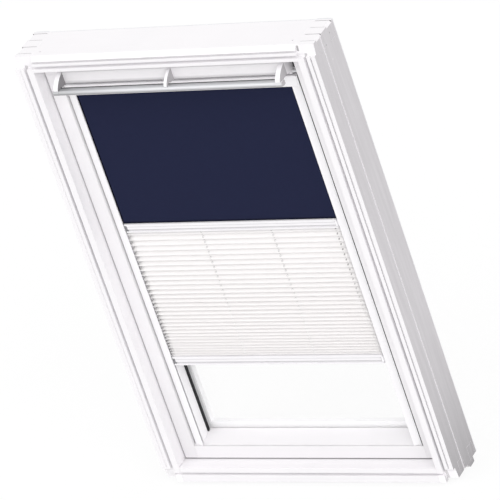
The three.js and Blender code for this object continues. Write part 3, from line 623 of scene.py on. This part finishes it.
def dark_cloth_painted_shadow(g, along, colour):
    """Painted shadow: nearly black along the side edges, below the head box and above the bar."""
    # Painted shadow along the side edges, the head and the foot
    beside = g.ramp(g.size(along["X"]), *DARK_SIDES, 0, 0.95)
    above = g.ramp(along["Y"], *DARK_HEAD, 0.85, 0)
    below = g.ramp(along["Y"], *DARK_FOOT, 0, 0.6)
    edges = g.either(beside, g.either(above, below))
    return g.blend(edges, colour, (0.0012, 0.0014, 0.0045))


def pleat_tints_and_painted_light(g, along, colour):
    """Paler towards the foot; painted light makes the lower faces paler, and painted shade round
    the cords' holes fades towards the foot.
    """
    colour = g.blend(g.ramp(along["Y"], *PLEAT_PALES, 0, 1), colour, (0.905, 0.888, 0.888))
    # Painted light on the lower faces of the pleats
    lower = g.ramp(g.facing()["Z"], -0.45, 0.1, 0.85, 0)
    colour = g.blend(lower, colour, (0.980, 0.965, 0.964))
    fold = g.maths("FRACT", g.maths("DIVIDE", along["Y"], PLEAT_FACE))
    # Painted shade round the cords' holes, fading towards the foot
    beside = 0.0
    for place in EYELETS:
        away = g.size(g.maths("SUBTRACT", along["X"], place))
        beside = g.either(beside, g.ramp(away, SLOT_HALF, 2 * SLOT_HALF, 1, 0))
    hole_shade = g.both(beside, g.within([fold], [EYELET_ROWS]))
    hole_shade = g.both(hole_shade, g.ramp(along["Y"], *EYELET_FADES, 0.7, 0.05))
    return g.blend(hole_shade, colour, (0.16, 0.15, 0.15))


# ---------------------------------------------------------------- what each node is made of
PAINT_UPRIGHT = lacquer("lacquer_upright", UPRIGHT)
PAINT_LEVEL = lacquer("lacquer_level", ACROSS)
BEAD_PAINT = lacquer("beaded_lacquer_level", ACROSS, bead=True)
FRAME_UPRIGHT = lacquer("frame_lacquer_upright", UPRIGHT, frame_piece=True)
FRAME_LEVEL = lacquer("frame_lacquer_level", ACROSS, frame_piece=True)
FLAP_PAINT = lacquer("flap_lacquer", ACROSS, flap=True)
ARM_PLASTIC = handle_plastic("arm_plastic")
WHITE_METAL = powder("white_powder_coat", (0.97, 0.955, 0.975), (0.95, 0.938, 0.955))
COVER = powder(
    "pale_lacquered_cover", (0.80, 0.80, 0.82), (0.74, 0.745, 0.765), 0.1, (0.34, 0.46)
)
GLIDER = powder("grey_plastic", (0.25, 0.25, 0.26), (0.20, 0.20, 0.21), rough=(0.45, 0.6))
# Grey that stands in for the shade beside the left stile
SHADE_STRIP_GREY = powder("grey_shade_strip", (0.78, 0.77, 0.78), (0.72, 0.71, 0.72), rough=(0.55, 0.7))
# The sealant's pale tone is partly painted light against the shade between the panes
SEALANT = powder("pale_edge_sealant", (0.97, 0.96, 0.97), (0.94, 0.93, 0.94), rough=(0.6, 0.75))
STEEL = brushed("zinc_plated_steel", (0.42, 0.43, 0.44), (0.33, 0.335, 0.35), UPRIGHT)
BAR_METAL = bar_metal("anodised_bar")
MIDDLE_BAR = blind_bar("middle_bar_coat", "middle_bar")
BOTTOM_BAR = blind_bar("bottom_bar_coat", "bottom_bar")
RUBBER = rubber("black_rubber")
LIGHT_SEAL = rubber("light_seal_rubber", SEAL_GREYS)
FOAM = foam("filter_foam")
SPACER = spacer("spacer_metal")
GLASS = glass("clear_glass")
DARK_CLOTH = woven(
    "dark_blue_cloth", (0.0190, 0.0225, 0.0555), (0.0130, 0.0160, 0.0420),
    threads=1600, sheen=0.0, bump=0.00012, gloss=0.06, tints_and_painted_light=dark_cloth_painted_shadow,
)
PLEAT_CLOTH = woven(
    "white_pleat_cloth", (0.870, 0.853, 0.852), (0.826, 0.810, 0.809),
    threads=2400, sheen=0.05, bump=0.00006, gloss=0.2, tints_and_painted_light=pleat_tints_and_painted_light,
)

LOOKS = {
    FRAME_UPRIGHT: ("frame_jamb_left", "frame_jamb_right"),
    FRAME_LEVEL: ("frame_head", "frame_sill", "drip_nose"),
    PAINT_UPRIGHT: ("sash_stile_left", "sash_stile_right"),
    PAINT_LEVEL: ("sash_top_rail",),
    BEAD_PAINT: ("sash_bottom_rail",),
    FLAP_PAINT: ("vent_flap",),
    ARM_PLASTIC: (
        "bar_arm_left", "bar_arm_middle", "bar_arm_right", "bar_cap_left", "bar_cap_right",
    ),
    COVER: (
        "head_cover", "sill_cover", "jamb_cover_left", "jamb_cover_right",
        "sash_cover_left", "sash_cover_right", "sash_cover_top", "sash_cover_bottom",
        "flap_pin_left", "flap_pin_right",
    ),
    STEEL: (
        "striker_plate", "frame_pivot_plate_left", "frame_pivot_plate_right",
        "sash_pivot_plate_left", "sash_pivot_plate_right", "pivot_pin_left", "pivot_pin_right",
        "lock_case", "roller_tube",
    ),
    RUBBER: ("weather_seal",),
    LIGHT_SEAL: ("light_seal_left", "light_seal_right"),
    FOAM: ("vent_filter",),
    SPACER: ("spacer_frame",),
    GLASS: ("inner_pane", "outer_pane"),
    WHITE_METAL: (
        "head_box", "head_box_cap_left", "head_box_cap_right",
        "side_channel_left", "side_channel_right", "middle_glider_right", "bottom_glider_right",
    ),
    MIDDLE_BAR: ("middle_bar",),
    BOTTOM_BAR: ("bottom_bar",),
    GLIDER: ("middle_glider_left", "bottom_glider_left"),
    BAR_METAL: ("control_bar",),
    DARK_CLOTH: ("blackout_cloth",),
    PLEAT_CLOTH: ("pleated_cloth",),
}
SHARP = {GLASS, DARK_CLOTH, PLEAT_CLOTH}
FINE = (
    "middle_bar", "bottom_bar", "sash_bottom_rail", "control_bar", "spacer_frame",
    "light_seal_left", "light_seal_right",
)
EDGE_WIDTH = 0.5 * MM
FINE_EDGE_WIDTH = 0.2 * MM


def soften(obj, width):
    """Eases the edges of a CAD solid without touching its own mesh."""
    weld = obj.modifiers.new("weld", "WELD")
    weld.merge_threshold = 1e-6
    flat = obj.modifiers.new("flat", "DECIMATE")
    flat.decimate_type = "DISSOLVE"
    flat.angle_limit = math.radians(0.5)
    bevel = obj.modifiers.new("edges", "BEVEL")
    bevel.width = width
    bevel.segments = 2
    bevel.limit_method = "ANGLE"
    bevel.angle_limit = math.radians(28)
    bevel.use_clamp_overlap = True
    bevel.harden_normals = True


for look, names in LOOKS.items():
    for name in names:
        piece = NODES[name]
        piece.data.materials.clear()
        piece.data.materials.append(look)
        if look not in SHARP:
            soften(piece, FINE_EDGE_WIDTH if name in FINE else EDGE_WIDTH)


# ---------------------------------------------------------------- cloths
def sheet_mesh(name, columns, rows, point, cloth_at, mat, skip=lambda col, row: False):
    """A grid of cloth: point(x, row) gives a place, cloth_at(row) the length of cloth to it."""
    mesh = bpy.data.meshes.new(name)
    verts = [point(x, row) for row in range(rows) for x in columns]
    wide = len(columns)
    faces = []
    for row in range(rows - 1):
        for col in range(wide - 1):
            if not skip(col, row):
                at = row * wide + col
                faces.append((at, at + wide, at + wide + 1, at + 1))
    mesh.from_pydata(verts, [], faces)
    layer = mesh.uv_layers.new(name="cloth")
    for loop in mesh.loops:
        row, col = divmod(loop.vertex_index, wide)
        layer.data[loop.index].uv = (columns[col], cloth_at(row))
    obj = bpy.data.objects.new(name, mesh)
    bpy.context.collection.objects.link(obj)
    mesh.materials.append(mat)
    mesh.polygons.foreach_set("use_smooth", [True] * len(mesh.polygons))
    return obj


def thicken(obj, thickness):
    solid = obj.modifiers.new("thickness", "SOLIDIFY")
    solid.thickness = thickness
    solid.offset = 0


def waves(table, x, along):
    return sum(height * math.sin(x * pace + along * lean) for height, pace, lean in table)


def build_dark_cloth():
    """The dark cloth: a sheet that hangs from the roller with faint waves."""
    low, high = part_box("blackout_cloth")
    rows, steps = 61, 72
    low.x, high.x = -DARK_HALF, DARK_HALF
    width = high.x - low.x
    columns = [low.x + width * i / steps for i in range(steps + 1)]
    middle = (low.y + high.y) / 2
    drop = high.z - low.z

    def point(x, row):
        along = row / (rows - 1)
        wave = math.sin(math.pi * along) * waves(DARK_WAVES, x, along)
        return (x, middle + wave, high.z - drop * along)

    def length(row):
        return drop * row / (rows - 1)

    cloth = sheet_mesh("blackout_cloth_sheet", columns, rows, point, length, DARK_CLOTH)
    thicken(cloth, DARK_THICKNESS)
    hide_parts("blackout_cloth")
    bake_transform(cloth)


def pleat_path(top, drop, front):
    """Height, depth, fold and share of a face for each row of the pleated cloth, from the top."""
    shares = [
        LAST_SHARE + (FIRST_SHARE - LAST_SHARE) * (1 - ((i + 0.5) / PLEATS) ** EASING)
        for i in range(PLEATS)
    ]
    pitches = [drop * share / sum(shares) for share in shares]
    folds = []
    height = top
    for pitch in pitches:
        depth = math.sqrt(PLEAT_FACE**2 - (pitch / 2) ** 2)
        folds.append((height, front + depth))
        folds.append((height - pitch / 2, front))
        height -= pitch
    folds.append((height, folds[-2][1]))

    path = []
    for i in range(len(folds) - 1):
        (z0, y0), (z1, y1) = folds[i], folds[i + 1]
        for share in FACE_ROWS:
            path.append((z0 + (z1 - z0) * share, y0 + (y1 - y0) * share, i, share))
    path.append((*folds[-1], len(folds) - 1, 0.0))
    return path


def pleat_columns(left, width, slots):
    """Columns of the pleated cloth, closer beside the cords' slots."""
    columns = {left, left + width}
    steps = 40
    for i in range(1, steps):
        x = left + width * i / steps
        if all(abs(x - s) > 5 * SLOT_HALF for s in slots):
            columns.add(x)
    for s in slots:
        columns.update(s + share * SLOT_HALF for share in (-2.5, -1, 1, 2.5))
    return sorted(columns)


def build_pleats():
    """The pleated cloth: folds that close up towards the foot, with slots for the cords."""
    low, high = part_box("pleated_cloth")
    low.x, high.x = -PLEAT_HALF, PLEAT_HALF
    width = high.x - low.x
    path = pleat_path(high.z, high.z - low.z, low.y + PLEAT_INSET)
    slots = EYELETS[:SLOTTED]
    columns = pleat_columns(low.x, width, slots)

    def point(x, row):
        z, y, fold, _ = path[row]
        if 0 < row < len(path) - 1:
            z += waves(PLEAT_RISES, x, fold)
            y += waves(PLEAT_SWAYS, x, fold)
        return (x, y, z)

    lengths = [0.0]
    for a, b in zip(path, path[1:]):
        lengths.append(lengths[-1] + math.hypot(a[0] - b[0], a[1] - b[1]))

    def length(row):
        return lengths[row]

    def is_slot(col, row):
        middle = (columns[col] + columns[col + 1]) / 2
        beside = any(abs(middle - s) < 0.5 * SLOT_HALF for s in slots)
        return path[row][3] == SLOT_ROW and beside

    cloth = sheet_mesh(
        "pleated_cloth_sheet", columns, len(path), point, length, PLEAT_CLOTH, is_slot
    )
    thicken(cloth, PLEAT_THICKNESS)
    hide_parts("pleated_cloth")
    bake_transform(cloth)


# ---------------------------------------------------------------- fine pieces
def strips(name, mat, body, *corners):
    """Thin strips as one piece; each has two corners, in millimetres from the part's origin."""
    mesh = bmesh.new()
    for low, high in corners:
        size = [(b - a) * MM for a, b in zip(low, high)]
        x, y, z = [(a + b) / 2 * MM for a, b in zip(low, high)]
        at = Matrix.Translation((x, y + FRONT, z + FOOT))
        bmesh.ops.create_cube(mesh, size=1, matrix=at @ Matrix.Diagonal((*size, 1)))
    data = bpy.data.meshes.new(name)
    mesh.to_mesh(data)
    mesh.free()
    data.materials.append(mat)
    obj = bpy.data.objects.new(name, data)
    bpy.context.collection.objects.link(obj)
    bevel = obj.modifiers.new("edges", "BEVEL")
    bevel.width = 0.15 * MM
    bevel.segments = 2
    bevel.harden_normals = True
    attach(obj, body)


def build_shade_strips_and_brushes():
    """Dark strips that stand in for the shade beside the stiles, behind the flap's ends and along
    the bar's back, and the channels' brushes.
    """
    # Painted shade: dark strips in the gaps beside the stiles and behind the flap's ends
    strips("stile_shade_strip_right", RUBBER, "sash", ((305.2, 38.2, 71.5), (307.7, 40.2, 1084)))
    strips("stile_shade_strip_left", SHADE_STRIP_GREY, "sash", ((-307.7, 38.4, 71.5), (-306.8, 41.5, 1084)))
    for side, name in ((1, "right"), (-1, "left")):
        near, far = sorted((side * 295.4, side * 307.6))
        strips("flap_end_shade_strip_" + name, RUBBER, "sash", ((near, 50.4, 1097), (far, 52, 1126)))
        near, far = sorted((side * 283.1, side * 284.1))
        strips("channel_brush_" + name, WHITE_METAL, "sash", ((near, 41, 75), (far, 41.8, 1052)))
    # Painted shade: a dark strip along the bar's back, where the gap behind it lies in shade
    strips("bar_shade_strip", RUBBER, "flap", ((-282.5, -6.4, 1100.72), (282.5, -4.0, 1101.2)))


def build_sealant():
    """The sealant that fills the edge between the panes, outside the spacer frame."""
    overlap = 0.1
    pane_low, pane_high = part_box("inner_pane")
    bar_low, bar_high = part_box("spacer_frame")
    front = (pane_high.y - FRONT) / MM + overlap
    back = (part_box("outer_pane")[0].y - FRONT) / MM - overlap
    x, inner_x = pane_high.x / MM, bar_high.x / MM + overlap
    low, inner_low = (pane_low.z - FOOT) / MM, (bar_low.z - FOOT) / MM - overlap
    high, inner_high = (pane_high.z - FOOT) / MM, (bar_high.z - FOOT) / MM + overlap
    strips(
        "pane_edge_sealant", SEALANT, "sash",
        ((-x, front, low), (x, back, inner_low)),
        ((-x, front, inner_high), (x, back, high)),
        ((-x, front, inner_low), (-inner_x, back, inner_high)),
        ((inner_x, front, inner_low), (x, back, inner_high)),
    )


build_dark_cloth()
build_pleats()
build_shade_strips_and_brushes()
build_sealant()


# ---------------------------------------------------------------- stage, light and camera
def shows_white(tree, dim, white):
    """Mixes what is seen directly, in mirrors and through glass with what lights the object."""
    path = tree.nodes.new("ShaderNodeLightPath")
    total = path.outputs["Is Camera Ray"]
    for output in ("Is Glossy Ray", "Is Transmission Ray"):
        add = tree.nodes.new("ShaderNodeMath")
        add.operation = "MAXIMUM"
        tree.links.new(total, add.inputs[0])
        tree.links.new(path.outputs[output], add.inputs[1])
        total = add.outputs[0]
    mix = tree.nodes.new("ShaderNodeMixShader")
    tree.links.new(dim, mix.inputs[1])
    tree.links.new(white, mix.inputs[2])
    return total, mix


def build_floor():
    mesh = bpy.data.meshes.new("studio_floor")
    square = ((-1, -1), (1, -1), (1, 1), (-1, 1))
    corners = [(x * FLOOR_REACH, y * FLOOR_REACH, 0) for x, y in square]
    mesh.from_pydata(corners, [], [(0, 1, 2, 3)])
    floor = bpy.data.objects.new("studio_floor", mesh)
    bpy.context.collection.objects.link(floor)
    mat = bpy.data.materials.new("studio_floor")
    mat.use_nodes = True
    tree = mat.node_tree
    tree.nodes.clear()
    out = tree.nodes.new("ShaderNodeOutputMaterial")
    plain = tree.nodes.new("ShaderNodeBsdfDiffuse")
    plain.inputs["Color"].default_value = (FLOOR_TONE, FLOOR_TONE, FLOOR_TONE, 1)
    white = tree.nodes.new("ShaderNodeEmission")
    white.inputs["Color"].default_value = (1, 1, 1, 1)
    white.inputs["Strength"].default_value = FLOOR_GLOW
    seen, mix = shows_white(tree, plain.outputs[0], white.outputs[0])
    share = tree.nodes.new("ShaderNodeMath")
    share.operation = "MULTIPLY"
    share.inputs[1].default_value = FLOOR_SHOWN
    tree.links.new(seen, share.inputs[0])
    tree.links.new(share.outputs[0], mix.inputs["Fac"])
    tree.links.new(mix.outputs[0], out.inputs["Surface"])
    mesh.materials.append(mat)


def build_sky():
    world = bpy.data.worlds.new("studio")
    bpy.context.scene.world = world
    world.use_nodes = True
    tree = world.node_tree
    tree.nodes.clear()
    out = tree.nodes.new("ShaderNodeOutputWorld")
    skies = []
    for strength in (SKY_STRENGTH, 1.0):
        sky = tree.nodes.new("ShaderNodeBackground")
        sky.inputs["Color"].default_value = (1, 1, 1, 1)
        sky.inputs["Strength"].default_value = strength
        skies.append(sky.outputs[0])
    seen, mix = shows_white(tree, *skies)
    tree.links.new(seen, mix.inputs["Fac"])
    tree.links.new(mix.outputs[0], out.inputs["Surface"])


def build_suns():
    for name, (source, strength) in SUNS.items():
        data = bpy.data.lights.new(name, "SUN")
        data.energy = strength
        data.angle = math.radians(SUN_ANGLE)
        lamp = bpy.data.objects.new(name, data)
        lamp.rotation_euler = Vector(source).to_track_quat("Z", "Y").to_euler()
        bpy.context.collection.objects.link(lamp)


def build_camera():
    data = bpy.data.cameras.new("camera")
    data.sensor_width = SENSOR_WIDTH
    data.lens = CAMERA_LENS
    data.clip_end = VIEW_REACH
    camera = bpy.data.objects.new("camera", data)
    turn = Matrix((CAMERA_RIGHT, CAMERA_UP, CAMERA_BACK)).transposed().to_4x4()
    camera.matrix_world = Matrix.Translation(CAMERA_AT) @ turn
    bpy.context.collection.objects.link(camera)
    bpy.context.scene.camera = camera


build_floor()
build_sky()
build_suns()
build_camera()
bpy.context.scene.view_settings.view_transform = "Standard"
